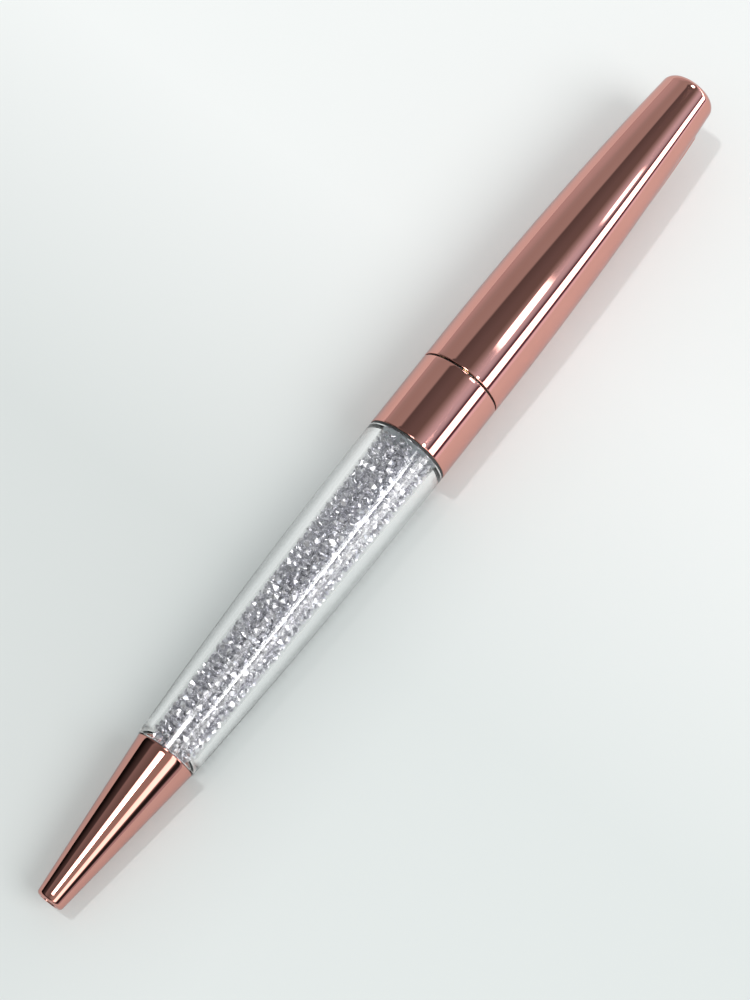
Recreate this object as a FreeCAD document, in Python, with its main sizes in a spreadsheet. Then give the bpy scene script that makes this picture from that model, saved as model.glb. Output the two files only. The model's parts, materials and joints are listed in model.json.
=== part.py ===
"""Slim twist-action pen: metal nose, clear crystal-filled barrel, metal collar, and a cap that turns.

The axis of the pen is X. The centre of the writing opening is at the origin, the cap end is at +X, and the
pen lies on its side with +Z up. Lengths are in millimetres. A station is a distance along X.
"""
import FreeCAD, Part
import math
import os

import Sketcher

V = FreeCAD.Vector

DIMENSIONS = {
    # nose cone
    "tip_radius": 1.9,
    "tip_edge": 0.5,
    "tip_bore_radius": 1.22,
    "tip_bore_length": 3.5,
    "nose_length": 23.0,
    "nose_joint_radius": 4.2,
    "nose_wall": 0.6,
    # clear tube
    "barrel_radius": 5.83,
    "tube_end": 73.0,
    "tube_sweep_radius": 817.0,
    "neck_bore_radius": 2.68,
    "bore_shoulder": 24.6,
    "bore_shoulder_radius": 3.4,
    "rear_bore_radius": 4.25,
    "front_spigot_radius": 3.3,
    "front_spigot_length": 4.5,
    "rear_spigot_radius": 5.05,
    "rear_spigot_length": 6.0,
    "gasket_thickness": 0.3,
    # tube round the refill, and the seals that shut the crystals in
    "lining_inner_radius": 1.3,
    "lining_outer_radius": 1.6,
    "lining_start": 15.4,
    "lining_end": 79.9,
    "seal_length": 2.5,
    # collar and the washer behind it
    "collar_radius": 5.85,
    "collar_end": 84.3,
    "collar_web": 1.2,
    "collar_thread_radius": 4.2,
    "edge_rounding": 0.12,
    "nose_joint_rounding": 0.22,
    "washer_thickness": 0.18,
    "washer_outer_radius": 5.5,
    # cap shell and its liner
    "cap_start": 84.55,
    "cap_radius": 5.87,
    "cap_crown": 88.0,
    "cap_sweep_radius": 579.0,
    "cap_shoulder": 135.7,
    "cap_end": 137.0,
    "cap_wall": 0.55,
    "cap_end_wall": 1.2,
    "liner_start": 84.75,
    "liner_end": 113.5,
    "liner_mouth_radius": 5.0,
    "liner_lip_radius": 4.08,
    # guide tube of the twist mechanism
    "guide_start": 80.4,
    "guide_end": 114.0,
    "guide_thread_radius": 4.15,
    "guide_flange_radius": 4.5,
    "guide_flange_end": 88.0,
    "guide_outer_radius": 3.5,
    "guide_bore_radius": 2.9,
    "guide_bore_end": 104.5,
    "guide_rear_bore_radius": 2.4,
    "oring_groove_start": 85.8,
    "oring_groove_end": 86.8,
    "oring_groove_radius": 4.05,
    "oring_section_radius": 0.44,
    "circlip_groove_start": 112.15,
    "circlip_groove_end": 112.75,
    "circlip_groove_radius": 3.1,
    "circlip_outer_radius": 3.9,
    "circlip_gap": 1.6,
    # cam sleeve and pin
    "cam_start": 88.1,
    "cam_end": 112.05,
    "cam_inner_radius": 3.55,
    "cam_outer_radius": 4.3,
    "cam_cut_depth": 0.4,
    "pin_station": 101.0,
    "pin_radius": 0.58,
    "pin_reach": 4.2,
    "slot_half_width": 0.65,
    "refill_travel": 5.5,
    # carrier and refill
    "carrier_start": 90.0,
    "carrier_end": 103.0,
    "carrier_radius": 2.85,
    "socket_radius": 1.18,
    "socket_end": 99.4,
    "ball_station": 1.85,
    "ball_radius": 0.35,
    "ball_hidden": 0.05,
    "point_lip_radius": 0.5,
    "point_cone_radius": 1.0,
    "point_shoulder": 5.0,
    "ink_channel_radius": 0.25,
    "refill_radius": 1.15,
    "refill_bore_radius": 0.95,
    "refill_tube_start": 11.5,
    "refill_tube_end": 96.6,
    "point_neck_length": 3.0,
    "ink_end": 68.0,
    "follower_length": 5.0,
    "plug_neck_length": 2.0,
    "plug_head_length": 2.7,
    # pocket clip, drawn straight up and then rolled under the pen
    "clip_roll": 20.0,
    "clip_crown": 110.0,
    "clip_crown_height": 7.4,
    "clip_sweep_radius": 139.0,
    "clip_thickness": 0.7,
    "clip_width": 3.6,
    "clip_tip_width": 2.6,
    "clip_taper_start": 131.0,
    "clip_free_end": 96.4,
    "clip_root_height": 4.45,
    "clip_root_rounding": 0.6,
    "dimple_station": 98.2,
    "dimple_half_length": 0.9,
    "dimple_radius": 1.5,
    "tab_start": 132.3,
    "tab_end": 133.9,
    "tab_foot": 1.7,
    "tab_width": 2.4,
    "tab_clearance": 0.2,
    "clip_pin_station": 133.1,
    "clip_pin_height": 2.6,
    "clip_pin_radius": 0.35,
    "clip_pin_length": 3.8,
    "block_start": 123.0,
    "block_end": 135.6,
    "block_bore_radius": 1.3,
    # fits
    "seat_gap": 0.03,
    "slide_gap": 0.05,
}
BEYOND = 2.0  # how far a cutting outline runs past what it cuts

os.makedirs("parts", exist_ok=True)
doc = FreeCAD.newDocument("twist_pen")

sheet = doc.addObject("Spreadsheet::Sheet", "Dims")
for row, (alias, value) in enumerate(DIMENSIONS.items(), start=1):
    sheet.set(f"A{row}", alias)
    sheet.set(f"B{row}", str(value))
    sheet.setAlias(f"B{row}", alias)
doc.recompute()


# ---------------------------------------------------------------- sizes that keep their formula
class Size:
    """A number together with the spreadsheet formula that gives it."""

    def __init__(self, value, text):
        self.value = value
        self.text = text

    def combined(self, sign, other, value):
        return Size(value, f"({self.text} {sign} {sized(other).text})")

    def __add__(self, other):
        return self.combined("+", other, self.value + sized(other).value)

    def __sub__(self, other):
        return self.combined("-", other, self.value - sized(other).value)

    def __mul__(self, other):
        return self.combined("*", other, self.value * sized(other).value)

    def __truediv__(self, other):
        return self.combined("/", other, self.value / sized(other).value)

    def __neg__(self):
        return Size(-self.value, f"(-{self.text})")


def sized(value):
    return value if isinstance(value, Size) else Size(float(value), f"{float(value)}")


class Dimensions:
    """Reads a cell of the sheet as a Size, as in D.nose_length."""

    def __getattr__(self, alias):
        return Size(float(sheet.get(alias)), f"Dims.{alias}")


D = Dimensions()
ZERO = sized(0)


def level_arc(station, crown, crown_radius, sweep_radius):
    """Height at a station of a long arc that runs parallel to the axis at its crown."""
    along = station - crown
    under = sweep_radius * sweep_radius - along * along
    return crown_radius - sweep_radius + Size(math.sqrt(under.value), f"sqrt({under.text})")


def nose_outside(station):
    slope = (D.nose_joint_radius - D.tip_radius) / (D.nose_length - D.tip_edge)
    return D.tip_radius + (station - D.tip_edge) * slope


def tube_outside(station):
    return level_arc(station, D.tube_end, D.barrel_radius, D.tube_sweep_radius)


def cap_outside(station):
    return level_arc(station, D.cap_crown, D.cap_radius, D.cap_sweep_radius)


def cap_inside(station, inset=0):
    """Inner radius of the cap shell behind its crown, less an inset."""
    wall = D.cap_wall + inset
    return level_arc(station, D.cap_crown, D.cap_radius - wall, D.cap_sweep_radius - wall)


def clip_height(station, under=0):
    """Height of the clip's outer face above the axis, or of a face that lies under it."""
    return level_arc(station, D.clip_crown, D.clip_crown_height - under, D.clip_sweep_radius - under)


# ---------------------------------------------------------------- drawing helpers
def plane(body, role):
    return next(item for item in body.Origin.OriginFeatures if item.Role == role)


def new_sketch(body, name, role):
    sketch = body.newObject("Sketcher::SketchObject", name)
    sketch.AttachmentSupport = [(plane(body, role), "")]
    sketch.MapMode = "FlatFace"
    return sketch


def bind(sketch, kind, *geometry, size):
    """Adds a dimension whose value comes from the sheet."""
    number = sketch.addConstraint(Sketcher.Constraint(kind, *geometry, size.value))
    sketch.setExpression(f"Constraints[{number}]", size.text)


def arc_between(start, end, radius, side):
    """An arc that bulges to the left (+1) or the right (-1) of the line from start to end."""
    chord = end - start
    rise = radius - math.sqrt(max(radius**2 - (chord.Length / 2) ** 2, 0))
    left = V(-chord.y, chord.x, 0).normalize()
    middle = (start + end) / 2 + left * (rise * side)
    return Part.Arc(end, middle, start) if side > 0 else Part.Arc(start, middle, end)


def draw(sketch, corners):
    """Draws a closed outline bound to the sheet.

    A corner is (x, y), or (x, y, radius, side) where the edge to the next corner is an arc.
    """
    points = [V(corner[0].value, corner[1].value, 0) for corner in corners]
    following = points[1:] + points[:1]
    for corner, start, end in zip(corners, points, following):
        if len(corner) == 2:
            edge = Part.LineSegment(start, end)
        else:
            edge = arc_between(start, end, corner[2].value, corner[3])
        sketch.addGeometry(edge, False)
    for index, corner in enumerate(corners):
        after = (index + 1) % len(corners)
        here, there = (1, 2) if len(corner) == 2 or corner[3] < 0 else (2, 1)
        next_here = 1 if len(corners[after]) == 2 or corners[after][3] < 0 else 2
        sketch.addConstraint(Sketcher.Constraint("Coincident", index, there, after, next_here))
        for kind, size, axis in (("DistanceX", corner[0], -2), ("DistanceY", corner[1], -1)):
            if size is ZERO:
                sketch.addConstraint(Sketcher.Constraint("PointOnObject", index, here, axis))
            else:
                bind(sketch, kind, -1, 1, index, here, size=size)
        if len(corner) > 2:
            bind(sketch, "Radius", index, size=corner[2])


def draw_circle(sketch, station, height, radius):
    """Draws one circle bound to the sheet."""
    centre = V(station.value, height.value, 0)
    sketch.addGeometry(Part.Circle(centre, V(0, 0, 1), radius.value), False)
    bind(sketch, "DistanceX", -1, 1, 0, 3, size=station)
    if height is ZERO:
        sketch.addConstraint(Sketcher.Constraint("PointOnObject", 0, 3, -1))
    else:
        bind(sketch, "DistanceY", -1, 1, 0, 3, size=height)
    bind(sketch, "Radius", 0, size=radius)


def turned(name, corners):
    """A body turned about the pen's axis from an outline of (station, radius) corners."""
    body = doc.addObject("PartDesign::Body", name)
    sketch = new_sketch(body, f"{name}_outline", "XY_Plane")
    draw(sketch, corners)
    turn = body.newObject("PartDesign::Revolution", f"{name}_turn")
    turn.Profile = sketch
    turn.ReferenceAxis = (sketch, ["H_Axis"])
    turn.Angle = 360
    doc.recompute()
    return body


def ring(name, start, end, inner, outer):
    return turned(name, [(start, inner), (start, outer), (end, outer), (end, inner)])


def rod(name, start, end, radius):
    """A plain round rod along the pen's axis."""
    item = doc.addObject("Part::Cylinder", name)
    item.Placement = FreeCAD.Placement(V(start.value, 0, 0), FreeCAD.Rotation(V(0, 1, 0), 90))
    item.setExpression("Placement.Base.x", start.text)
    item.setExpression("Height", (end - start).text)
    item.setExpression("Radius", radius.text)
    return item


def pocket(body, sketch, upward_only=False, downward_only=False):
    """Cuts a sketch right through a body, or only through its upper or lower half."""
    before = body.Shape.Volume
    cut = body.newObject("PartDesign::Pocket", f"{sketch.Name}_cut")
    cut.Profile = sketch
    cut.Type = "ThroughAll"
    cut.Midplane = not (upward_only or downward_only)
    cut.Reversed = upward_only
    doc.recompute()
    if not body.Shape.Volume < before - 1e-6:
        raise RuntimeError(f"{sketch.Name} cuts nothing")
    return cut


def pad(body, sketch, width):
    """Thickens a sketch equally to both sides."""
    item = body.newObject("PartDesign::Pad", f"{sketch.Name}_pad")
    item.Profile = sketch
    item.Midplane = True
    item.setExpression("Length", width.text)
    doc.recompute()
    return item


def round_edges(body, size, *places):
    """Rounds a turned body's circular edges at the given (station, radius) places."""
    base = body.Tip
    names = []
    for number, edge in enumerate(base.Shape.Edges, start=1):
        if not isinstance(edge.Curve, Part.Circle):
            continue
        for station, radius in places:
            near = abs(edge.Curve.Center.x - station.value) < 1e-4
            if near and abs(edge.Curve.Radius - radius.value) < 1e-4:
                names.append(f"Edge{number}")
    if len(names) != len(places):
        raise RuntimeError(f"{body.Name} has {len(names)} of its {len(places)} edges to round")
    fillet = body.newObject("PartDesign::Fillet", f"{body.Name}_rounding")
    fillet.Base = (base, names)
    fillet.setExpression("Radius", size.text)
    doc.recompute()


def roll(item):
    """Turns a piece drawn with the clip straight up to where the clip lies, low on the -Y side."""
    angle = 180 - D.clip_roll.value
    item.Placement = FreeCAD.Placement(V(0, 0, 0), FreeCAD.Rotation(V(1, 0, 0), angle))
    item.setExpression("Placement.Rotation.Angle", f"180 deg - {D.clip_roll.text} * 1 deg")


# ---------------------------------------------------------------- nose
def make_nose_cone():
    spigot_start = D.nose_length - D.front_spigot_length - D.seat_gap
    spigot_hole = D.front_spigot_radius + D.seat_gap
    body = turned("nose_cone", [
        (ZERO, D.tip_bore_radius),
        (ZERO, D.tip_radius - D.tip_edge, D.tip_edge, 1),
        (D.tip_edge, D.tip_radius),
        (D.nose_length, D.nose_joint_radius),
        (D.nose_length, spigot_hole),
        (spigot_start, spigot_hole),
        (spigot_start, nose_outside(spigot_start) - D.nose_wall),
        (D.tip_bore_length, nose_outside(D.tip_bore_length) - D.nose_wall),
        (D.tip_bore_length, D.tip_bore_radius),
    ])
    round_edges(body, D.nose_joint_rounding, (D.nose_length, D.nose_joint_radius))


def make_nose_bush():
    """The plastic bush in the nose that steers the refill and holds the front of the lining tube."""
    start = D.tip_bore_length + D.seat_gap
    end = D.nose_length - D.front_spigot_length - D.seat_gap * 2
    inset = D.nose_wall + D.seat_gap
    counterbore = D.lining_outer_radius + D.seat_gap
    step = D.lining_start - D.seat_gap
    turned("nose_bush", [
        (start, D.lining_inner_radius),
        (start, nose_outside(start) - inset),
        (end, nose_outside(end) - inset),
        (end, counterbore),
        (step, counterbore),
        (step, D.lining_inner_radius),
    ])


# ---------------------------------------------------------------- clear barrel and its filling
def make_crystal_tube():
    """The thick clear tube. Its bore is narrow in the front spigot and widens evenly from there on."""
    front = D.nose_length + D.seat_gap
    rear = D.tube_end - D.gasket_thickness - D.seat_gap * 2
    front_spigot = D.nose_length - D.front_spigot_length
    rear_spigot = D.tube_end + D.rear_spigot_length
    turned("crystal_tube", [
        (front_spigot, D.neck_bore_radius),
        (front_spigot, D.front_spigot_radius),
        (front, D.front_spigot_radius),
        (front, tube_outside(front), D.tube_sweep_radius, 1),
        (rear, tube_outside(rear)),
        (rear, D.rear_spigot_radius),
        (rear_spigot, D.rear_spigot_radius),
        (rear_spigot, D.rear_bore_radius),
        (D.tube_end, D.rear_bore_radius),
        (D.bore_shoulder, D.bore_shoulder_radius),
        (D.nose_length, D.neck_bore_radius),
    ])


def make_tube_gasket():
    """The thin dark ring between the clear tube and the collar."""
    end = D.tube_end - D.seat_gap
    inner = D.rear_spigot_radius + D.seat_gap
    ring("tube_gasket", end - D.gasket_thickness, end, inner, D.barrel_radius - D.seat_gap)


def make_lining_and_filling():
    """The metal tube round the refill, and the crystals shut in round it between two seals."""
    ring("lining_tube", D.lining_start, D.lining_end, D.lining_inner_radius, D.lining_outer_radius)
    inner = D.lining_outer_radius + D.seat_gap
    front_outer = D.neck_bore_radius - D.seat_gap
    rear_outer = D.rear_bore_radius - D.seat_gap
    front = D.nose_length
    rear = D.tube_end
    ring("front_seal", front - D.seal_length, front, inner, front_outer)
    turned("crystal_filling", [
        (front + D.seat_gap, inner),
        (front + D.seat_gap, front_outer),
        (D.bore_shoulder, D.bore_shoulder_radius - D.seat_gap),
        (rear - D.seat_gap, rear_outer),
        (rear - D.seat_gap, inner),
    ])
    ring("rear_seal", rear, rear + D.seal_length, inner, rear_outer)


# ---------------------------------------------------------------- collar
def make_collar():
    spigot_hole = D.rear_spigot_radius + D.seat_gap
    lining_hole = D.lining_outer_radius + D.seat_gap
    web_start = D.tube_end + D.rear_spigot_length + D.seat_gap
    web_end = web_start + D.collar_web
    body = turned("collar", [
        (D.tube_end, spigot_hole),
        (D.tube_end, D.collar_radius),
        (D.collar_end, D.collar_radius),
        (D.collar_end, D.collar_thread_radius),
        (web_end, D.collar_thread_radius),
        (web_end, lining_hole),
        (web_start, lining_hole),
        (web_start, spigot_hole),
    ])
    round_edges(body, D.edge_rounding, (D.tube_end, D.collar_radius), (D.collar_end, D.collar_radius))


def make_thrust_washer():
    start = D.collar_end + D.seat_gap
    inner = D.guide_thread_radius + D.seat_gap
    ring("thrust_washer", start, start + D.washer_thickness, inner, D.washer_outer_radius)


# ---------------------------------------------------------------- twist mechanism
def make_guide_tube():
    """The fixed tube that screws into the collar. The cap and the cam sleeve turn round it."""
    flange_start = D.collar_end + D.seat_gap * 2 + D.washer_thickness
    body = turned("guide_tube", [
        (D.guide_start, D.guide_bore_radius),
        (D.guide_start, D.guide_thread_radius),
        (flange_start, D.guide_thread_radius),
        (flange_start, D.guide_flange_radius),
        (D.oring_groove_start, D.guide_flange_radius),
        (D.oring_groove_start, D.oring_groove_radius),
        (D.oring_groove_end, D.oring_groove_radius),
        (D.oring_groove_end, D.guide_flange_radius),
        (D.guide_flange_end, D.guide_flange_radius),
        (D.guide_flange_end, D.guide_outer_radius),
        (D.circlip_groove_start, D.guide_outer_radius),
        (D.circlip_groove_start, D.circlip_groove_radius),
        (D.circlip_groove_end, D.circlip_groove_radius),
        (D.circlip_groove_end, D.guide_outer_radius),
        (D.guide_end, D.guide_outer_radius),
        (D.guide_end, D.guide_rear_bore_radius),
        (D.guide_bore_end, D.guide_rear_bore_radius),
        (D.guide_bore_end, D.guide_bore_radius),
    ])
    slots = new_sketch(body, "straight_slots", "XY_Plane")
    front = D.pin_station - D.refill_travel - D.slot_half_width
    rear = D.pin_station + D.slot_half_width
    draw(slots, [
        (front, -D.slot_half_width),
        (rear, -D.slot_half_width),
        (rear, D.slot_half_width),
        (front, D.slot_half_width),
    ])
    pocket(body, slots)


def make_friction_ring():
    """The rubber ring in the guide tube's flange that gives the twist its drag."""
    item = doc.addObject("Part::Torus", "friction_ring")
    station = (D.oring_groove_start + D.oring_groove_end) / 2
    item.Placement = FreeCAD.Placement(V(station.value, 0, 0), FreeCAD.Rotation(V(0, 1, 0), 90))
    item.setExpression("Placement.Base.x", station.text)
    item.setExpression("Radius1", (D.oring_groove_radius + D.oring_section_radius + D.seat_gap).text)
    item.setExpression("Radius2", D.oring_section_radius.text)


def make_retaining_ring():
    """The spring ring that keeps the cam sleeve on the guide tube, with its gap at the bottom."""
    start = D.circlip_groove_start + D.seat_gap
    end = D.circlip_groove_end - D.seat_gap
    body = ring("retaining_ring", start, end, D.circlip_groove_radius + D.seat_gap, D.circlip_outer_radius)
    gap = new_sketch(body, "ring_gap", "XY_Plane")
    half_gap = D.circlip_gap / 2
    draw(gap, [
        (start - BEYOND, -half_gap),
        (end + BEYOND, -half_gap),
        (end + BEYOND, half_gap),
        (start - BEYOND, half_gap),
    ])
    pocket(body, gap, downward_only=True)


def make_cam_sleeve():
    """The sleeve that turns with the cap. Its two helical slots push the cam pin along in half a turn."""
    body = ring("cam_sleeve", D.cam_start, D.cam_end, D.cam_inner_radius, D.cam_outer_radius)
    middle_radius = (D.cam_inner_radius + D.cam_outer_radius) / 2
    travel_per_radian = D.refill_travel / math.pi
    lead_angle = math.atan(travel_per_radian.value / middle_radius.value)
    half_slot = D.slot_half_width / math.cos(lead_angle)
    run_in_angle = math.asin((D.slot_half_width + D.slide_gap).value / middle_radius.value)
    run_in = travel_per_radian * run_in_angle
    slot = new_sketch(body, "helical_slot", "XZ_Plane")
    slot.AttachmentOffset = FreeCAD.Placement(
        V(0, 0, 0), FreeCAD.Rotation(V(1, 0, 0), -math.degrees(run_in_angle))
    )
    front = D.pin_station + run_in - half_slot
    rear = D.pin_station + run_in + half_slot
    inside = D.cam_inner_radius - D.cam_cut_depth
    outside = D.cam_outer_radius + D.cam_cut_depth
    draw(slot, [(front, inside), (rear, inside), (rear, outside), (front, outside)])
    doc.recompute()
    helix = body.newObject("PartDesign::SubtractiveHelix", "helical_slot_cut")
    helix.Profile = slot
    helix.ReferenceAxis = (slot, ["H_Axis"])
    helix.Mode = "pitch-height-angle"
    helix.setExpression("Pitch", (D.refill_travel * 2).text)
    helix.setExpression("Height", (D.refill_travel + run_in * 2).text)
    helix.LeftHanded = True
    helix.Reversed = True
    helix.Angle = 0
    doc.recompute()
    pair = body.newObject("PartDesign::PolarPattern", "helical_slot_pair")
    pair.Originals = [helix]
    pair.Axis = (slot, ["H_Axis"])
    pair.Angle = 360
    pair.Occurrences = 2
    body.Tip = pair
    doc.recompute()


def make_cam_pin():
    item = doc.addObject("Part::Cylinder", "cam_pin")
    item.Placement = FreeCAD.Placement(V(D.pin_station.value, 0, -D.pin_reach.value), FreeCAD.Rotation())
    item.setExpression("Placement.Base.x", D.pin_station.text)
    item.setExpression("Placement.Base.z", f"-{D.pin_reach.text}")
    item.setExpression("Radius", D.pin_radius.text)
    item.setExpression("Height", (D.pin_reach * 2).text)


def make_carrier():
    """The slider in the guide tube. The refill plugs into its front, and the cam pin crosses its rear."""
    body = turned("carrier", [
        (D.carrier_start, D.socket_radius),
        (D.carrier_start, D.carrier_radius),
        (D.carrier_end, D.carrier_radius),
        (D.carrier_end, ZERO),
        (D.socket_end, ZERO),
        (D.socket_end, D.socket_radius),
    ])
    hole = new_sketch(body, "pin_hole", "XY_Plane")
    draw_circle(hole, D.pin_station, ZERO, D.pin_radius + D.seat_gap)
    pocket(body, hole)


# ---------------------------------------------------------------- refill
def make_refill():
    make_refill_point()
    start, end = D.refill_tube_start, D.refill_tube_end
    ring("refill_tube", start, end, D.refill_bore_radius, D.refill_radius)
    inside = D.refill_bore_radius - D.seat_gap
    rod("gel_ink", start + D.point_neck_length + D.seat_gap, D.ink_end, inside)
    follower_start = D.ink_end + D.seat_gap
    rod("ink_follower", follower_start, follower_start + D.follower_length, inside)
    head = end + D.seat_gap
    turned("refill_plug", [
        (end - D.plug_neck_length, ZERO),
        (end - D.plug_neck_length, inside),
        (head, inside),
        (head, D.refill_radius),
        (head + D.plug_head_length, D.refill_radius),
        (head + D.plug_head_length, ZERO),
    ])


def make_refill_point():
    """The metal point that carries the ball, with its ink channel, and the ball itself."""
    seat = D.ball_radius + D.seat_gap
    front = D.ball_station - D.ball_hidden
    neck = D.refill_bore_radius - D.seat_gap
    neck_start = D.refill_tube_start - D.seat_gap
    neck_end = D.refill_tube_start + D.point_neck_length
    seat_end = D.ball_station + seat
    turned("refill_point", [
        (front, seat),
        (front, D.point_lip_radius),
        (D.point_shoulder, D.point_cone_radius),
        (D.point_shoulder, D.refill_radius),
        (neck_start, D.refill_radius),
        (neck_start, neck),
        (neck_end, neck),
        (neck_end, D.ink_channel_radius),
        (seat_end, D.ink_channel_radius),
        (seat_end, seat),
    ])
    ball = doc.addObject("Part::Sphere", "writing_ball")
    ball.Placement = FreeCAD.Placement(V(D.ball_station.value, 0, 0), FreeCAD.Rotation())
    ball.setExpression("Placement.Base.x", D.ball_station.text)
    ball.setExpression("Radius", D.ball_radius.text)


# ---------------------------------------------------------------- cap
def make_cap_shell():
    """The one-piece cap with its closed end, and the slot through which the clip comes out."""
    inner_end = D.cap_end - D.cap_end_wall
    inner_mouth = D.cap_radius - D.cap_wall
    end_rounding = D.cap_end - D.cap_shoulder
    body = turned("cap_shell", [
        (D.cap_start, inner_mouth),
        (D.cap_start, cap_outside(D.cap_start), D.cap_sweep_radius, 1),
        (D.cap_shoulder, cap_outside(D.cap_shoulder), end_rounding, 1),
        (D.cap_end, cap_outside(D.cap_shoulder) - end_rounding),
        (D.cap_end, ZERO),
        (inner_end, ZERO),
        (inner_end, cap_inside(inner_end), D.cap_sweep_radius - D.cap_wall, -1),
        (D.cap_crown, inner_mouth),
    ])
    round_edges(body, D.edge_rounding, (D.cap_start, cap_outside(D.cap_start)))
    cut_tab_slot(body, "clip_slot")
    roll(body)


def cut_tab_slot(body, name):
    """The slot for the clip's tab, with room for the tab to rock when the clip is lifted."""
    slot = new_sketch(body, name, "XY_Plane")
    front = D.tab_start - D.tab_clearance
    rear = D.tab_end + D.tab_clearance
    half_width = D.tab_width / 2 + D.tab_clearance
    draw(slot, [(front, -half_width), (rear, -half_width), (rear, half_width), (front, half_width)])
    pocket(body, slot, upward_only=True)


def make_cap_liner():
    """The plastic liner that holds the cam sleeve in the cap and rides over the rubber ring."""
    outer_mouth = D.cap_radius - D.cap_wall - D.seat_gap
    sleeve_seat = D.cam_outer_radius + D.seat_gap
    step = D.cam_start - D.seat_gap
    lip = D.cam_end + D.slide_gap
    turned("cap_liner", [
        (D.liner_start, D.liner_mouth_radius),
        (D.liner_start, outer_mouth),
        (D.cap_crown, outer_mouth, D.cap_sweep_radius - D.cap_wall - D.seat_gap, 1),
        (D.liner_end, cap_inside(D.liner_end, D.seat_gap)),
        (D.liner_end, D.liner_lip_radius),
        (lip, D.liner_lip_radius),
        (lip, sleeve_seat),
        (step, sleeve_seat),
        (step, D.liner_mouth_radius),
    ])


def make_clip_block():
    """The plastic plug in the cap's closed end, slotted for the clip's tab."""
    sweep = D.cap_sweep_radius - D.cap_wall - D.seat_gap
    body = turned("clip_block", [
        (D.block_start, D.block_bore_radius),
        (D.block_start, cap_inside(D.block_start, D.seat_gap), sweep, 1),
        (D.block_end, cap_inside(D.block_end, D.seat_gap)),
        (D.block_end, D.block_bore_radius),
    ])
    cut_tab_slot(body, "tab_slot")
    bore_for_pin(body, "pin_seat", D.seat_gap)
    roll(body)


def bore_for_pin(body, name, gap):
    """The cross hole for the clip's pin, wider than the pin by a gap all round."""
    hole = new_sketch(body, name, "XZ_Plane")
    draw_circle(hole, D.clip_pin_station, D.clip_pin_height, D.clip_pin_radius + gap)
    pocket(body, hole)


def make_clip_pin():
    """The cross pin in the plug that the clip's tab hangs on."""
    body = doc.addObject("PartDesign::Body", "clip_pin")
    section = new_sketch(body, "pin_section", "XZ_Plane")
    draw_circle(section, D.clip_pin_station, D.clip_pin_height, D.clip_pin_radius)
    pad(body, section, D.clip_pin_length)
    roll(body)


def make_pocket_clip():
    """The spring clip: a bowed arm with a dimple near its free end, and a tab that enters the cap."""
    body = doc.addObject("PartDesign::Body", "pocket_clip")
    arm = new_sketch(body, "clip_arm", "XZ_Plane")
    outer, inner = D.clip_sweep_radius, D.clip_sweep_radius - D.clip_thickness
    bend = D.tab_end - D.clip_root_rounding
    dimple_front = D.dimple_station - D.dimple_half_length
    dimple_rear = D.dimple_station + D.dimple_half_length
    draw(arm, [
        (D.tab_start, D.clip_root_height),
        (D.tab_end, D.clip_root_height),
        (D.tab_end, clip_height(bend) - D.clip_root_rounding, D.clip_root_rounding, -1),
        (bend, clip_height(bend), outer, -1),
        (D.clip_free_end, clip_height(D.clip_free_end)),
        (D.clip_free_end, clip_height(D.clip_free_end, D.clip_thickness), inner, 1),
        (dimple_front, clip_height(dimple_front, D.clip_thickness), D.dimple_radius, -1),
        (dimple_rear, clip_height(dimple_rear, D.clip_thickness), inner, 1),
        (D.tab_start, clip_height(D.tab_start, D.clip_thickness)),
    ])
    pad(body, arm, D.clip_width)
    taper_clip(body)
    tab = new_sketch(body, "clip_tab", "XZ_Plane")
    tab_top = D.clip_root_height + D.seat_gap * 5
    draw(tab, [
        (D.tab_start, D.tab_foot),
        (D.tab_end, D.tab_foot),
        (D.tab_end, tab_top),
        (D.tab_start, tab_top),
    ])
    pad(body, tab, D.tab_width)
    bore_for_pin(body, "tab_hole", D.slide_gap)
    roll(body)


def taper_clip(body):
    """Narrows the arm towards its free end, which is rounded."""
    tip_half = D.clip_tip_width / 2
    clear = D.clip_width / 2 + BEYOND
    for name, side in (("left_taper", 1), ("right_taper", -1)):
        sketch = new_sketch(body, name, "XY_Plane")
        draw(sketch, [
            (D.clip_free_end - BEYOND, ZERO),
            (D.clip_free_end, ZERO, tip_half, side),
            (D.clip_free_end + tip_half, tip_half * side),
            (D.clip_taper_start, D.clip_width / 2 * side),
            (D.clip_taper_start, clear * side),
            (D.clip_free_end - BEYOND, clear * side),
        ])
        pocket(body, sketch)


# ---------------------------------------------------------------- the whole pen
PIECES = [
    "nose_cone", "nose_bush", "crystal_tube", "lining_tube", "front_seal", "crystal_filling", "rear_seal",
    "tube_gasket", "collar", "thrust_washer", "guide_tube", "friction_ring", "retaining_ring",
    "cam_sleeve", "cap_liner", "cap_shell", "clip_block", "clip_pin", "pocket_clip",
    "cam_pin", "carrier", "refill_tube", "refill_point", "writing_ball", "gel_ink", "ink_follower",
    "refill_plug",
]


def export_pieces():
    """Checks every object and piece of the document, then writes one STEP file for each piece."""
    doc.recompute()
    for item in doc.Objects:
        if "Invalid" in item.State or "Error" in item.State:
            raise RuntimeError(f"{item.Label} did not compute: {item.State}")
    for name in PIECES:
        shape = doc.getObject(name).Shape
        if shape.isNull() or not shape.isValid() or len(shape.Solids) != 1:
            raise RuntimeError(f"{name} is not one valid solid")
    for name in PIECES:
        shape = doc.getObject(name).Shape
        shape.exportStep(f"parts/{name}.step")
        print(f"{name}: {shape.Volume:.2f} mm3")


make_nose_cone()
make_nose_bush()
make_crystal_tube()
make_tube_gasket()
make_lining_and_filling()
make_collar()
make_thrust_washer()
make_guide_tube()
make_friction_ring()
make_retaining_ring()
make_cam_sleeve()
make_cap_liner()
make_cap_shell()
make_clip_block()
make_clip_pin()
make_pocket_clip()
make_cam_pin()
make_carrier()
make_refill()
export_pieces()
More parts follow.
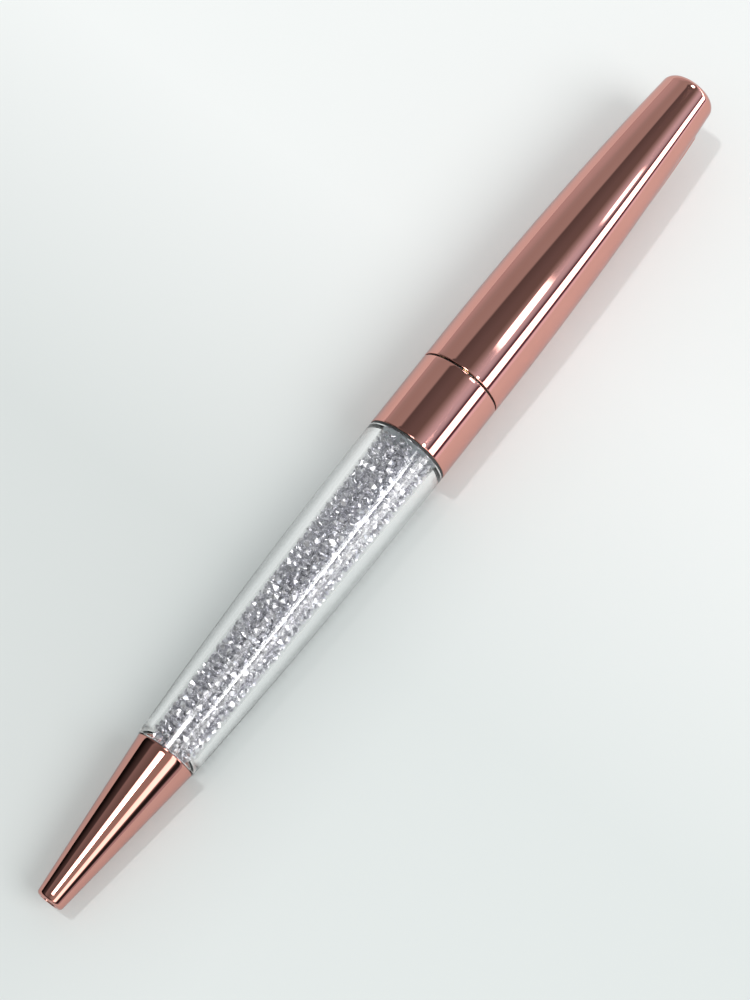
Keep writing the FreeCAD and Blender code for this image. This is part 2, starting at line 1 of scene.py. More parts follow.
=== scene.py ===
"""Looks of the twist pen: rose-gold nose, collar, cap and clip, and a clear barrel full of crystals.

Lengths are in metres in the part's own frame: +X along the pen from its writing opening, +Z up. An outline
is a list of (station, radius) points, where a station is a distance along X.
"""

import json
import math

import bmesh
import bpy
import numpy as np
from mathutils import Matrix, Quaternion, Vector


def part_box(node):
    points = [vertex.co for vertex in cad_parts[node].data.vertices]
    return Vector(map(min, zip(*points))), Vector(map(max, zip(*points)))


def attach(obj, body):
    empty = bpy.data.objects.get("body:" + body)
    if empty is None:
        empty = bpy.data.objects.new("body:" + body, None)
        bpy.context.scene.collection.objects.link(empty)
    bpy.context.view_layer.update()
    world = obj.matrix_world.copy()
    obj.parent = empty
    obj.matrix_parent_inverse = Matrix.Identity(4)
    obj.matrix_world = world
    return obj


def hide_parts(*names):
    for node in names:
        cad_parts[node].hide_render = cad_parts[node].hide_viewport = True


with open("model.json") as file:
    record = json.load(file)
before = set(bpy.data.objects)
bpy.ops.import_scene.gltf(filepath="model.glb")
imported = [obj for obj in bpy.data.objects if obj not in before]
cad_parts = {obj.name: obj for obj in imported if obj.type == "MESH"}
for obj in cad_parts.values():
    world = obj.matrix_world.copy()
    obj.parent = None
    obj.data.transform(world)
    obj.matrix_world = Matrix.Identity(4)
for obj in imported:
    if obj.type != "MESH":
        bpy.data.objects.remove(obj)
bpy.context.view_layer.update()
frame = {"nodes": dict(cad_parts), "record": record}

MM = 0.001
SEGMENTS = 192


# ---------------------------------------------------------------- sizes read from the frame
def span(node):
    """First and last station of a CAD node."""
    low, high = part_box(node)
    return low[0], high[0]


TIP_RADIUS = 1.9 * MM
TIP_EDGE = 0.5 * MM
TIP_BORE_RADIUS = 1.22 * MM
TIP_CHAMFER = 0.05 * MM
TIP_RING = 0.1 * MM
NOSE_SWEEP_START = 1 * MM
TIP_BORE_LENGTH = 3.5 * MM
NOSE_JOINT_RADIUS = 4.2 * MM
NOSE_WALL = 0.6 * MM
SPIGOT_HOLE_RADIUS = 3.33 * MM
NOSE_CAVITY_END = 18.47 * MM
TUBE_SWEEP_RADIUS = 817 * MM
NECK_BORE_RADIUS = 2.68 * MM
BORE_SHOULDER = 24.6 * MM
BORE_SHOULDER_RADIUS = 3.4 * MM
REAR_BORE_RADIUS = 4.25 * MM
FRONT_SPIGOT_RADIUS = 3.3 * MM
REAR_SPIGOT_RADIUS = 5.05 * MM
BARREL_RADIUS = 5.83 * MM
LINING_RADIUS = 1.6 * MM
COLLAR_RADIUS = 5.85 * MM
COLLAR_BORE_RADIUS = 4.2 * MM
COLLAR_WEB = 1.2 * MM
CAP_RADIUS = 5.87 * MM
CAP_CROWN = 88 * MM
CAP_SWEEP_RADIUS = 579 * MM
CAP_SHOULDER = 135.7 * MM
CAP_WALL = 0.55 * MM
CAP_END_WALL = 1.2 * MM
# the clip's slot in the cap: its first and last station, and its first and last step of a lathed ring
SLOT_STATIONS = (132.1 * MM, 134.1 * MM)
SLOT_SEGMENTS = (74, 97)
EDGE = 0.12 * MM
# how far inside a collar or cap end its even stations start
EDGE_MARGIN = 0.5 * MM
NOSE_JOINT_EDGE = 0.22 * MM
TUBE_EDGE = 0.06 * MM
SEAT_GAP = 0.03 * MM
STONE_SIZE = 1.2 * MM
STONE_SPACING = STONE_SIZE * 0.95
STONE_LAYER = STONE_SIZE * 0.85
STONE_CLEARANCE = 0.04 * MM
# the table's depth under the pen's axis at the writing opening, and its fall towards the cap
TABLE_DEPTH = 3.86 * MM
TABLE_SLOPE = 0.0341

NOSE_END = span("nose_cone")[1]
TUBE_START, TUBE_REAR = span("crystal_tube")
GASKET_START = span("tube_gasket")[0]
COLLAR_START, COLLAR_END = span("collar")
CAP_START, CAP_END = span("cap_shell")


def level_arc(station, crown, crown_radius, sweep_radius):
    """Height at a station of a long arc that runs parallel to the axis at its crown."""
    return crown_radius - sweep_radius + math.sqrt(sweep_radius**2 - (station - crown) ** 2)


def tube_outside(station):
    return level_arc(station, COLLAR_START, BARREL_RADIUS, TUBE_SWEEP_RADIUS)


def cap_outside(station):
    return level_arc(station, CAP_CROWN, CAP_RADIUS, CAP_SWEEP_RADIUS)


def cap_inside(station):
    return level_arc(station, CAP_CROWN, CAP_RADIUS - CAP_WALL, CAP_SWEEP_RADIUS - CAP_WALL)


def nose_outside(station):
    return TIP_RADIUS + (station - TIP_EDGE) * (NOSE_JOINT_RADIUS - TIP_RADIUS) / (NOSE_END - TIP_EDGE)


# ---------------------------------------------------------------- materials
class Nodes:
    """A material's node tree with short calls for the nodes used here."""

    def __init__(self, name):
        self.material = bpy.data.materials.new(name)
        self.material.use_nodes = True
        self.tree = self.material.node_tree
        self.tree.nodes.clear()
        self.output = self.node("ShaderNodeOutputMaterial")
        self.place = self.node("ShaderNodeTexCoord").outputs["Object"]

    def node(self, kind, inputs=None, **settings):
        item = self.tree.nodes.new(kind)
        for key, value in settings.items():
            setattr(item, key, value)
        for key, value in (inputs or {}).items():
            self.feed(item.inputs[key], value)
        return item

    def feed(self, socket, value):
        if isinstance(value, bpy.types.NodeSocket):
            self.tree.links.new(value, socket)
        else:
            socket.default_value = value

    def noise(self, scale, detail=3.0, stretch=(1, 1, 1)):
        mapping = self.node("ShaderNodeMapping", {"Vector": self.place, "Scale": stretch})
        inputs = {"Vector": mapping.outputs[0], "Scale": scale, "Detail": detail}
        return self.node("ShaderNodeTexNoise", inputs).outputs["Fac"]

    def between(self, value, low, high, out_low, out_high):
        inputs = {"Value": value, "From Min": low, "From Max": high, "To Min": out_low, "To Max": out_high}
        return self.node("ShaderNodeMapRange", inputs).outputs[0]

    def blend(self, amount, first, second):
        mix = self.node("ShaderNodeMix", data_type="RGBA")
        for socket, value in ((0, amount), (6, first), (7, second)):
            self.feed(mix.inputs[socket], value)
        return mix.outputs[2]

    def bump(self, height, strength, distance):
        inputs = {"Height": height, "Strength": strength, "Distance": distance}
        return self.node("ShaderNodeBump", inputs).outputs[0]

    def principled(self, **inputs):
        named = {key.replace("_", " "): value for key, value in inputs.items()}
        return self.node("ShaderNodeBsdfPrincipled", named).outputs[0]

    def for_light(self, plain, shader):
        """The plain shader for lamps and for light thrown on other surfaces, else the real one."""
        path = self.node("ShaderNodeLightPath")
        for rays in ("Is Shadow Ray", "Is Diffuse Ray"):
            mix = self.node("ShaderNodeMixShader", {0: path.outputs[rays]})
            self.feed(mix.inputs[1], shader)
            self.feed(mix.inputs[2], plain)
            shader = mix.outputs[0]
        return shader

    def finish(self, shader):
        self.tree.links.new(shader, self.output.inputs["Surface"])
        return self.material


def rose_metal():
    """Polished plating: faint orange peel, and slight wear along the pen."""
    n = Nodes("rose_metal")
    wear = n.noise(900, 4, (0.15, 1, 1))
    patches = n.between(n.noise(120), 0.3, 0.7, 0, 1)
    colour = n.blend(patches, (0.69, 0.335, 0.285, 1), (0.67, 0.32, 0.27, 1))
    roughness = n.between(wear, 0.3, 0.8, 0.02, 0.06)
    ripple = n.bump(n.noise(160, 1), 0.2, 0.00004)
    edge_tint = (0.76, 0.78, 0.80, 1)
    return n.finish(n.principled(
        Base_Color=colour, Metallic=1.0, Roughness=roughness, Specular_Tint=edge_tint, Normal=ripple))


def clear_acrylic():
    """Clear plastic. Light for other surfaces goes straight through it, so its shadow is soft."""
    n = Nodes("clear_acrylic")
    haze = n.between(n.noise(400, 3), 0.45, 0.8, 0.0, 0.02)
    glass = n.principled(Base_Color=(1, 1, 1, 1), Roughness=haze, IOR=1.49, Transmission_Weight=1.0)
    clear = n.node("ShaderNodeBsdfTransparent", {"Color": (0.90, 0.91, 0.91, 1)}).outputs[0]
    return n.finish(n.for_light(clear, glass))


def crystal():
    """Foil-backed cut crystal: each flat facet mirrors another part of the room."""
    n = Nodes("crystal")
    patches = n.between(n.noise(500, 1), 0.35, 0.65, 0, 1)
    tint = n.blend(patches, (0.70, 0.69, 0.74, 1), (0.88, 0.87, 0.90, 1))
    roughness = n.between(n.noise(1500, 2), 0.35, 0.65, 0.10, 0.30)
    stone = n.principled(Base_Color=tint, Roughness=roughness, Metallic=0.75)
    clear = n.node("ShaderNodeBsdfTransparent", {"Color": (0.94, 0.94, 0.95, 1)}).outputs[0]
    return n.finish(n.for_light(clear, stone))


def turned_metal(name, light, dark, rough):
    """Metal with fine turning marks across the axis."""
    n = Nodes(name)
    marks = n.noise(600, 3, (6, 0.4, 0.4))
    colour = n.blend(n.between(marks, 0.35, 0.65, 0, 1), (*light, 1), (*dark, 1))
    roughness = n.between(marks, 0.3, 0.7, rough, rough + 0.12)
    return n.finish(n.principled(
        Base_Color=colour, Metallic=1.0, Roughness=roughness, Normal=n.bump(marks, 0.3, 0.00002)))


def moulded(name, colour, rough, grain=0.00002, **extra):
    """Moulded plastic or rubber with a fine grain."""
    n = Nodes(name)
    speck = n.noise(1500, 3)
    shade = tuple(channel * 0.8 for channel in colour)
    tone = n.blend(n.between(speck, 0.3, 0.7, 0, 1), (*colour, 1), (*shade, 1))
    roughness = n.between(speck, 0.3, 0.7, rough, rough + 0.1)
    return n.finish(n.principled(
        Base_Color=tone, Roughness=roughness, Normal=n.bump(speck, 0.3, grain), **extra))


MATERIALS = {
    "rose_metal": rose_metal(),
    "clear_acrylic": clear_acrylic(),
    "crystal": crystal(),
    "steel": turned_metal("steel", (0.75, 0.75, 0.77), (0.62, 0.62, 0.65), 0.12),
    "refill_metal": turned_metal("refill_metal", (0.80, 0.68, 0.40), (0.70, 0.57, 0.32), 0.18),
    "brass": turned_metal("brass", (0.82, 0.64, 0.32), (0.70, 0.52, 0.25), 0.2),
    "black_plastic": moulded("black_plastic", (0.02, 0.02, 0.022), 0.4),
    "white_plastic": moulded("white_plastic", (0.78, 0.78, 0.76), 0.45),
    "clear_seal": moulded("clear_seal", (0.85, 0.88, 0.9), 0.3),
    "rubber": moulded("rubber", (0.025, 0.025, 0.025), 0.6, 0.00004),
    "ink": moulded("ink", (0.01, 0.01, 0.03), 0.1),
    "follower_grease": moulded("follower_grease", (0.75, 0.68, 0.45), 0.2),
}


# ---------------------------------------------------------------- mesh helpers
def new_piece(name, mesh, body, material, slot, *replaced):
    piece = bpy.data.objects.new(name, mesh)
    bpy.context.scene.collection.objects.link(piece)
    mesh.materials.append(MATERIALS[material])
    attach(piece, body)
    if replaced:
        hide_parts(*replaced)
    return piece


def arc(centre, radius, start_angle, end_angle, steps=8):
    """Points of an arc about a (station, height) centre. Angles are in degrees from +X towards +r."""
    points = []
    for step in range(steps + 1):
        angle = math.radians(start_angle + (end_angle - start_angle) * step / steps)
        points.append((centre[0] + radius * math.cos(angle), centre[1] + radius * math.sin(angle)))
    return points


def stations(first, last, count):
    return [first + (last - first) * step / count for step in range(count + 1)]


def profile(shape, *legs):
    """Outline points that follow a shape, a radius at each station, over legs of (first, last, count)."""
    points = []
    for first, last, count in legs:
        points += [(station, shape(station)) for station in stations(first, last, count)[:-1]]
    last = legs[-1][1]
    return points + [(last, shape(last))]


def lathe(name, outline, window=None):
    """A closed mesh turned about the X axis from a closed outline.

    window is (front station, rear station, first step, last step): a slot through the wall, whose two ends
    are stations of the outline's outer and inner walls.
    """
    tiny = 1e-7
    angles = [2 * math.pi * step / SEGMENTS for step in range(SEGMENTS)]
    mesh = bmesh.new()
    rings = []
    for station, radius in outline:
        if radius < tiny:
            rings.append([mesh.verts.new((station, 0, 0))] * SEGMENTS)
            continue
        rings.append([
            mesh.verts.new((station, -radius * math.sin(angle), radius * math.cos(angle)))
            for angle in angles
        ])
    rows = len(rings)
    for row in range(rows):
        below, above = rings[row], rings[(row + 1) % rows]
        low, high = sorted((outline[row][0], outline[(row + 1) % rows][0]))
        for column in range(SEGMENTS):
            if window and window[2] <= column < window[3]:
                if low > window[0] - tiny and high < window[1] + tiny and high - low > tiny:
                    continue
            after = (column + 1) % SEGMENTS
            corners = [below[column], below[after], above[after], above[column]]
            corners = [c for i, c in enumerate(corners) if c not in corners[:i]]
            if len(corners) > 2:
                mesh.faces.new(corners)
    if window:
        close_window(mesh)
    bmesh.ops.recalc_face_normals(mesh, faces=mesh.faces[:])
    for face in mesh.faces:
        face.smooth = True
    data = bpy.data.meshes.new(name)
    mesh.to_mesh(data)
    mesh.free()
    return data


def close_window(mesh):
    """Joins the two edge loops left by a slot with side walls."""
    open_edges = [edge for edge in mesh.edges if len(edge.link_faces) == 1]
    bmesh.ops.bridge_loops(mesh, edges=open_edges)


def keep_flats(piece):
    """Lets large flat faces keep their own shading beside small rounded edges."""
    modifier = piece.modifiers.new("flats", "WEIGHTED_NORMAL")
    modifier.keep_sharp = True
    modifier.weight = 80


# ---------------------------------------------------------------- turned metal pieces
def make_nose():
    joint = NOSE_JOINT_RADIUS
    edge = NOSE_JOINT_EDGE
    outline = [(0, TIP_BORE_RADIUS + TIP_CHAMFER), (0, TIP_BORE_RADIUS + TIP_RING)]
    outline += arc((TIP_EDGE, TIP_RADIUS - TIP_EDGE), TIP_EDGE, 180, 96)
    outline += profile(nose_outside, (NOSE_SWEEP_START, NOSE_END - edge, 40))
    outline += arc((NOSE_END - edge, joint - edge), edge, 84, 0)
    outline += [
        (NOSE_END, SPIGOT_HOLE_RADIUS),
        (NOSE_CAVITY_END, SPIGOT_HOLE_RADIUS),
        (NOSE_CAVITY_END, nose_outside(NOSE_CAVITY_END) - NOSE_WALL),
        (TIP_BORE_LENGTH, nose_outside(TIP_BORE_LENGTH) - NOSE_WALL),
        (TIP_BORE_LENGTH, TIP_BORE_RADIUS),
        (TIP_CHAMFER, TIP_BORE_RADIUS),
    ]
    mesh = lathe("nose_shell", outline)
    piece = new_piece("nose_shell", mesh, "barrel", "rose_metal", "rose_metal", "nose_cone")
    keep_flats(piece)


def make_collar():
    outline = [(COLLAR_START, REAR_SPIGOT_RADIUS + SEAT_GAP)]
    outline += arc((COLLAR_START + EDGE, COLLAR_RADIUS - EDGE), EDGE, 180, 90)
    even = (COLLAR_START + EDGE_MARGIN, COLLAR_END - EDGE_MARGIN, 12)
    outline += profile(lambda station: COLLAR_RADIUS, even)
    outline += arc((COLLAR_END - EDGE, COLLAR_RADIUS - EDGE), EDGE, 90, 0)
    web_start = TUBE_REAR + SEAT_GAP
    web_end = web_start + COLLAR_WEB
    outline += [
        (COLLAR_END, COLLAR_BORE_RADIUS),
        (web_end, COLLAR_BORE_RADIUS),
        (web_end, LINING_RADIUS + SEAT_GAP),
        (web_start, LINING_RADIUS + SEAT_GAP),
        (web_start, REAR_SPIGOT_RADIUS + SEAT_GAP),
    ]
    mesh = lathe("collar_ring", outline)
    piece = new_piece("collar_ring", mesh, "barrel", "rose_metal", "rose_metal", "collar")
    keep_flats(piece)


def make_cap():
    mouth = CAP_RADIUS - CAP_WALL
    end_round = CAP_END - CAP_SHOULDER
    end_flat = cap_outside(CAP_SHOULDER) - end_round
    inner_end = CAP_END - CAP_END_WALL
    slot_start, slot_end = SLOT_STATIONS
    front_edge = (CAP_START + EDGE, cap_outside(CAP_START + EDGE) - EDGE)
    outline = [(CAP_START, mouth)]
    outline += arc(front_edge, EDGE, 180, 90)
    outline += profile(
        cap_outside,
        (CAP_START + EDGE_MARGIN, slot_start, 90),
        (slot_start, slot_end, 4),
        (slot_end, CAP_SHOULDER, 4),
    )
    outline += arc((CAP_SHOULDER, end_flat), end_round, 90, 0, 20)[1:]
    outline += [(CAP_END, radius) for radius in stations(end_flat, 0, 5)[1:]]
    outline += [(inner_end, 0)]
    outline += profile(
        cap_inside,
        (inner_end, slot_end, 4),
        (slot_end, slot_start, 4),
        (slot_start, CAP_CROWN, 30),
    )
    mesh = lathe("cap_body", outline, window=(slot_start, slot_end, *SLOT_SEGMENTS))
    piece = new_piece("cap_body", mesh, "cap", "rose_metal", "rose_metal", "cap_shell")
    keep_flats(piece)


# ---------------------------------------------------------------- clear barrel
def bore_radius(station):
    """The clear tube's bore: narrow in the nose, a short shoulder, and an even taper up to the collar."""
    places = [NOSE_END, BORE_SHOULDER, COLLAR_START]
    return np.interp(station, places, [NECK_BORE_RADIUS, BORE_SHOULDER_RADIUS, REAR_BORE_RADIUS])


def make_clear_tube():
    front = NOSE_END + SEAT_GAP
    rear = GASKET_START - SEAT_GAP
    edge = TUBE_EDGE
    outline = [
        (TUBE_START, NECK_BORE_RADIUS),
        (TUBE_START, FRONT_SPIGOT_RADIUS),
        (front, FRONT_SPIGOT_RADIUS),
    ]
    outline += arc((front + edge, tube_outside(front) - edge), edge, 180, 92, 4)
    outline += profile(tube_outside, (front + 3 * edge, rear - 3 * edge, 90))
    outline += arc((rear - edge, tube_outside(rear - edge) - edge), edge, 90, 0, 4)
    outline += [
        (rear, REAR_SPIGOT_RADIUS),
        (TUBE_REAR, REAR_SPIGOT_RADIUS),
    ]
    outline += profile(
        bore_radius,
        (TUBE_REAR, COLLAR_START, 3),
        (COLLAR_START, BORE_SHOULDER, 40),
        (BORE_SHOULDER, NOSE_END, 4),
    )
    mesh = lathe("clear_tube", outline)
    piece = new_piece("clear_tube", mesh, "barrel", "clear_acrylic", "clear_acrylic", "crystal_tube")
    keep_flats(piece)


def cut_stone():
    """Vertices and faces of a brilliant-cut stone, 1 across its girdle, with its table towards +Z."""
    sides = 8
    points = []
    for radius, height, offset in ((0.30, 0.17, 0.5), (0.5, 0.02, 0), (0.5, -0.03, 0)):
        for side in range(sides):
            angle = 2 * math.pi * (side + offset) / sides
            points.append((radius * math.cos(angle), radius * math.sin(angle), height))
    points.append((0, 0, -0.40))
    table, girdle, belt, culet = 0, sides, 2 * sides, 3 * sides
    faces = [tuple(range(sides))]
    for side in range(sides):
        after = (side + 1) % sides
        faces.append((table + side, girdle + side, girdle + after))
        faces.append((table + side, girdle + after, table + after))
        faces.append((girdle + side, belt + side, belt + after, girdle + after))
        faces.append((belt + side, culet, belt + after))
    return np.array(points), faces


def packed_places(random, depth, first, last):
    """Places for one layer of stones at a depth inside the bore, in staggered rows shaken out of line."""
    row_spacing = STONE_SPACING * math.sqrt(3) / 2
    rows = int((last - first) / row_spacing)
    shake = STONE_SPACING * 0.12
    nearest = LINING_RADIUS + STONE_SPACING * 0.55
    places = []
    for row, row_station in enumerate(stations(first, last, rows)):
        radius = max(bore_radius(row_station) - depth, nearest)
        in_row = int(2 * math.pi * radius / STONE_SPACING)
        start_angle = random.uniform(-0.1, 0.1) + math.pi / in_row * (row % 2)
        for item in range(in_row):
            angle = start_angle + 2 * math.pi * item / in_row + random.uniform(-shake, shake) / radius
            station = min(max(row_station + random.uniform(-shake, shake), first), last)
            places.append((station, -radius * math.sin(angle), radius * math.cos(angle)))
    return places


def make_crystals():
    """More than a thousand cut stones, packed two deep between the clear tube and its lining."""
    random = np.random.default_rng(7)
    first, last = span("crystal_filling")
    half = STONE_SIZE / 2
    outer = half + STONE_CLEARANCE
    places = []
    for depth in (outer, outer + STONE_LAYER):
        places += packed_places(random, depth, first + half, last - half)
    points, faces = cut_stone()
    verts, polygons = [], []
    for place in places:
        turn = Quaternion(random.normal(size=4)).normalized().to_matrix()
        stone_size = STONE_SIZE * random.uniform(0.86, 1.0)
        base = len(verts)
        for point in points:
            verts.append(turn @ Vector(point * stone_size) + Vector(place))
        polygons += [tuple(base + corner for corner in face) for face in faces]
    mesh = bpy.data.meshes.new("crystals")
    mesh.from_pydata(verts, [], polygons)
    mesh.update()
    new_piece("crystals", mesh, "barrel", "crystal", "crystal", "crystal_filling")


# ---------------------------------------------------------------- CAD nodes that keep their shape
def finish_cad_nodes():
    for part in frame["record"]["subparts"]:
        for material_slot in frame["nodes"][part["node"]].material_slots:
            material_slot.material = MATERIALS[part["material_slot"]]


# ---------------------------------------------------------------- stage, light and camera
def make_floor():
    """The pale table on which the barrel and the clip rest. Its colour holds painted light: lighter on the
    -Y side of the pen, and lightest round the cap.
    """
    n = Nodes("pale_table_painted_light")
    x, y = n.node("ShaderNodeSeparateXYZ", {0: n.place}).outputs[:2]
    # painted light: the table's colour is made lighter on the -Y side of the pen and lighter still round
    # the cap, in place of the uneven light that falls there
    painted_light_side = n.between(y, 0.01, -0.02, 0.0, 1.0)
    along = n.between(x, 0.05, 0.10, 0.0, 1.0)
    tone = n.blend(painted_light_side, (0.69, 0.715, 0.705, 1), (0.755, 0.785, 0.775, 1))
    tone = n.blend(along, tone, (0.875, 0.885, 0.877, 1))
    material = n.finish(n.principled(Base_Color=tone, Roughness=0.9, Specular_IOR_Level=0.0))
    size = 3.0
    corners = [(-size, -size), (size, -size), (size, size), (-size, size)]
    verts = [(x, y, -TABLE_DEPTH - TABLE_SLOPE * x) for x, y in corners]
    mesh = bpy.data.meshes.new("floor")
    mesh.from_pydata(verts, [], [(0, 1, 2, 3)])
    mesh.materials.append(material)
    floor = bpy.data.objects.new("floor", mesh)
    bpy.context.scene.collection.objects.link(floor)


# The studio as the pen mirrors it, in long soft bands that lie along the pen: the angle round the pen's
# axis from overhead, in degrees and positive towards -Y, then red, green and blue light.
ROOM_OVER_NOSE = [
    # the table, then a dark card
    (-180, 0.80, 0.80, 0.80),
    (-100, 0.70, 0.70, 0.70),
    (-96, 0.00, 0.00, 0.00),
    (-76, 0.01, 0.01, 0.01),
    (-62, 0.05, 0.05, 0.05),
    (-49, 0.08, 0.08, 0.08),
    # a grey ceiling
    (-44, 0.30, 0.30, 0.30),
    (-12, 0.18, 0.18, 0.17),
    (12, 0.42, 0.42, 0.39),
    (34, 0.46, 0.44, 0.40),
    # a window, a dark card and the table
    (38, 2.60, 2.60, 2.50),
    (54, 2.80, 2.80, 2.70),
    (58, 0.22, 0.22, 0.22),
    (64, 0.02, 0.02, 0.02),
    (76, 0.03, 0.03, 0.03),
    (83, 0.55, 0.55, 0.60),
    (180, 0.80, 0.80, 0.80),
]
ROOM_OVER_CAP = [
    # the table, then a grey wall
    (-180, 0.80, 0.80, 0.80),
    (-90, 0.60, 0.61, 0.63),
    (-73, 0.46, 0.49, 0.49),
    (-62, 0.45, 0.46, 0.45),
    (-39, 0.47, 0.49, 0.48),
    # a dark card
    (-34, 0.13, 0.13, 0.13),
    (-10, 0.18, 0.18, 0.18),
    (7, 0.19, 0.19, 0.18),
    # a pale ceiling with a cool cast
    (15, 0.34, 0.36, 0.36),
    (33, 0.76, 0.84, 0.96),
    (43, 0.70, 0.80, 0.94),
    (49, 0.52, 0.56, 0.66),
    # a bright strip window between dark frames, then a pale wall
    (54, 0.10, 0.08, 0.12),
    (57.5, 0.10, 0.08, 0.12),
    (60, 7.00, 7.00, 7.00),
    (73, 7.00, 7.00, 7.00),
    (75.5, 0.10, 0.06, 0.10),
    (82.0, 0.12, 0.08, 0.12),
    (84, 1.10, 1.12, 1.28),
    (180, 0.80, 0.80, 0.80),
]


class Sky:
    """The world's node tree, with short calls for sums on sockets and plain numbers."""

    def __init__(self):
        self.world = bpy.data.worlds.new("studio")
        bpy.context.scene.world = self.world
        self.world.use_nodes = True
        self.tree = self.world.node_tree
        self.tree.nodes.clear()

    def node(self, kind, values=(), **settings):
        item = self.tree.nodes.new(kind)
        for key, value in settings.items():
            setattr(item, key, value)
        for index, value in values:
            if isinstance(value, bpy.types.NodeSocket):
                self.tree.links.new(value, item.inputs[index])
            else:
                item.inputs[index].default_value = value
        return item

    def maths(self, operation, first, second=0.0):
        return self.node("ShaderNodeMath", [(0, first), (1, second)], operation=operation).outputs[0]

    def rise(self, value, low, high):
        """0 below low, 1 above high, and smooth between."""
        ends = [(0, value), (1, low), (2, high)]
        return self.node("ShaderNodeMapRange", ends, interpolation_type="SMOOTHSTEP").outputs[0]

    def patch(self, value, low, high, soft):
        """1 between low and high, 0 outside."""
        up = self.rise(value, low - soft, low + soft)
        down = self.rise(value, high - soft, high + soft)
        return self.maths("SUBTRACT", up, down)

    def bands(self, angle, table):
        """Light from a table of angles and colours, with an even change from each row to the next."""
        share = self.maths("ADD", self.maths("DIVIDE", angle, 360.0), 0.5)
        ramp = self.node("ShaderNodeValToRGB", [(0, share)])
        stops = ramp.color_ramp.elements
        while len(stops) < len(table):
            stops.new(0.5)
        for stop, (degrees, *colour) in zip(stops, table):
            stop.position = degrees / 360 + 0.5
            stop.color = (*colour, 1)
        return ramp.outputs[0]

    def mixed(self, amount, first, second, blend_type="MIX"):
        inputs = [(0, amount), (6, first), (7, second)]
        return self.node("ShaderNodeMix", inputs, data_type="RGBA", blend_type=blend_type).outputs[2]

    def grey(self, level):
        return self.node("ShaderNodeCombineColor", [(index, level) for index in range(3)]).outputs[0]


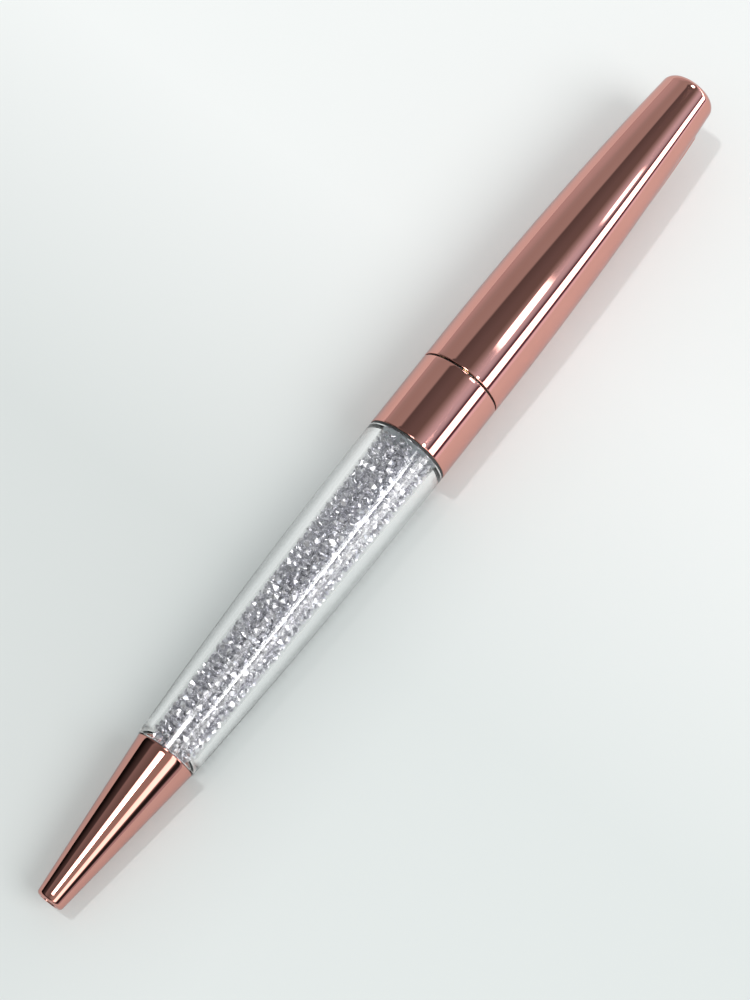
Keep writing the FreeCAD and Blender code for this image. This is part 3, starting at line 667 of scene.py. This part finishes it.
def make_world():
    """The room: bands along the pen for mirrors, long lamps overhead, and even light for matt surfaces."""
    sky = Sky()
    direction = sky.node("ShaderNodeTexCoord").outputs["Generated"]
    x, y, z = sky.node("ShaderNodeSeparateXYZ", [(0, direction)]).outputs
    angle = sky.maths("DEGREES", sky.maths("ARCTAN2", sky.maths("MULTIPLY", y, -1.0), z))
    tilt = sky.maths("DEGREES", sky.maths("ARCSINE", x))

    # the bands over the cap swing a little towards -Y with the tilt, most on the +Y side
    swing_start, swing_width, overhead_swing, swing_fall = 18.0, 16.0, 18.0, 0.18
    swing = sky.maths("DIVIDE", sky.maths("SUBTRACT", tilt, swing_start), swing_width)
    swing = sky.maths("MINIMUM", sky.maths("MAXIMUM", swing, -0.2), 1.2)
    reach = sky.maths("MULTIPLY_ADD", angle, -swing_fall)
    reach.node.inputs[2].default_value = overhead_swing
    cap_angle = sky.maths("SUBTRACT", angle, sky.maths("MULTIPLY", swing, reach))
    room = sky.mixed(
        sky.rise(tilt, 5.0, 14.0),
        sky.bands(angle, ROOM_OVER_NOSE),
        sky.bands(cap_angle, ROOM_OVER_CAP),
    )
    # the room is dimmer far ahead of the writing end
    dimmed = sky.maths("MAXIMUM", sky.rise(x, -0.85, -0.6), 0.35)
    room = sky.mixed(1.0, room, sky.grey(dimmed), "MULTIPLY")
    # long lamps: first and last angle, first and last tilt, softness of sides and ends, strength. The
    # light that mirrors throw on matt surfaces leaves them out, because they would only add grain there
    rays = sky.node("ShaderNodeLightPath").outputs
    direct = sky.maths("LESS_THAN", rays["Diffuse Depth"], 0.5)
    lamps = [
        # over the nose
        (-10, 9.5, -8.0, 8.0, 0.8, 0.5, 4.0),
        (-4, 8, -8.0, 3.0, 1.2, 0.5, 25.0),
        # over the collar and the cap
        (36, 41, 3.4, 15.6, 1.0, 0.5, 36.0),
        (24, 40, 19.6, 23.2, 2.0, 0.5, 7.0),
        (42, 51, 27.2, 29.9, 1.5, 0.5, 6.0),
        # far beyond the cap, for the facets of the crystals
        (-4, 12, 36.0, 62.0, 1.5, 1.0, 12.0),
    ]
    for first, last, near, far, soft_sides, soft_ends, strength in lamps:
        light = sky.patch(angle, first, last, soft_sides)
        for factor in (sky.patch(tilt, near, far, soft_ends), strength, direct):
            light = sky.maths("MULTIPLY", light, factor)
        room = sky.mixed(1.0, room, sky.grey(light), "ADD")
    # mirrors and clear pieces see the room; matt surfaces and the open background see an even tone
    mirrored = sky.maths("MAXIMUM", rays["Is Glossy Ray"], rays["Is Transmission Ray"])
    even_tone = (0.62, 0.64, 0.64, 1)
    room = sky.mixed(mirrored, even_tone, room)
    background = sky.node("ShaderNodeBackground", [(0, room)])
    sky.node("ShaderNodeOutputWorld", [(0, background.outputs[0])])


def make_lamps():
    """Two lamps that only give the table its soft shadows. Mirrors see the room instead."""
    # name, angle from overhead, tilt along the pen and spread in degrees, strength
    lamps = [
        ("small_lamp", -15.0, -3.0, 3.3, 0.56),
        ("wide_lamp", 44.0, 5.0, 34.0, 1.1),
    ]
    for name, angle, tilt, spread, strength in lamps:
        data = bpy.data.lights.new(name, "SUN")
        data.angle = math.radians(spread)
        data.energy = strength
        lamp = bpy.data.objects.new(name, data)
        side, lean = math.radians(angle), math.radians(tilt)
        upright = math.cos(lean)
        towards = Vector((math.sin(lean), -math.sin(side) * upright, math.cos(side) * upright))
        lamp.rotation_euler = towards.to_track_quat("Z", "Y").to_euler()
        lamp.visible_glossy = False
        lamp.visible_transmission = False
        bpy.context.scene.collection.objects.link(lamp)


def make_camera():
    """A long view from over the nose, leaning to the -Y side."""
    side_lean = math.radians(12)
    distance = 0.345
    foot = -0.0279
    aim_station = 0.0652
    aim_offset = 0.00077
    pen_angle = math.radians(51.61)
    axis = Vector((1, 0, 0))
    up = Vector((0, -math.sin(side_lean), math.cos(side_lean)))
    position = Vector((foot, 0, 0)) + up * distance
    target = Vector((aim_station, 0, 0)) + axis.cross(up) * aim_offset
    backward = (position - target).normalized()
    along = (axis - backward * axis.dot(backward)).normalized()
    across = along.cross(backward)
    right = along * math.cos(pen_angle) + across * math.sin(pen_angle)
    above = along * math.sin(pen_angle) - across * math.cos(pen_angle)
    data = bpy.data.cameras.new("camera")
    data.lens = 100.8
    data.sensor_width = 36
    data.clip_start = 0.01
    camera = bpy.data.objects.new("camera", data)
    turn = Matrix((right, above, backward)).transposed().to_4x4()
    camera.matrix_world = Matrix.Translation(position) @ turn
    bpy.context.scene.collection.objects.link(camera)
    bpy.context.scene.camera = camera


bpy.context.scene.view_settings.view_transform = "Standard"
make_nose()
make_collar()
make_cap()
make_clear_tube()
make_crystals()
finish_cad_nodes()
make_floor()
make_world()
make_lamps()
make_camera()
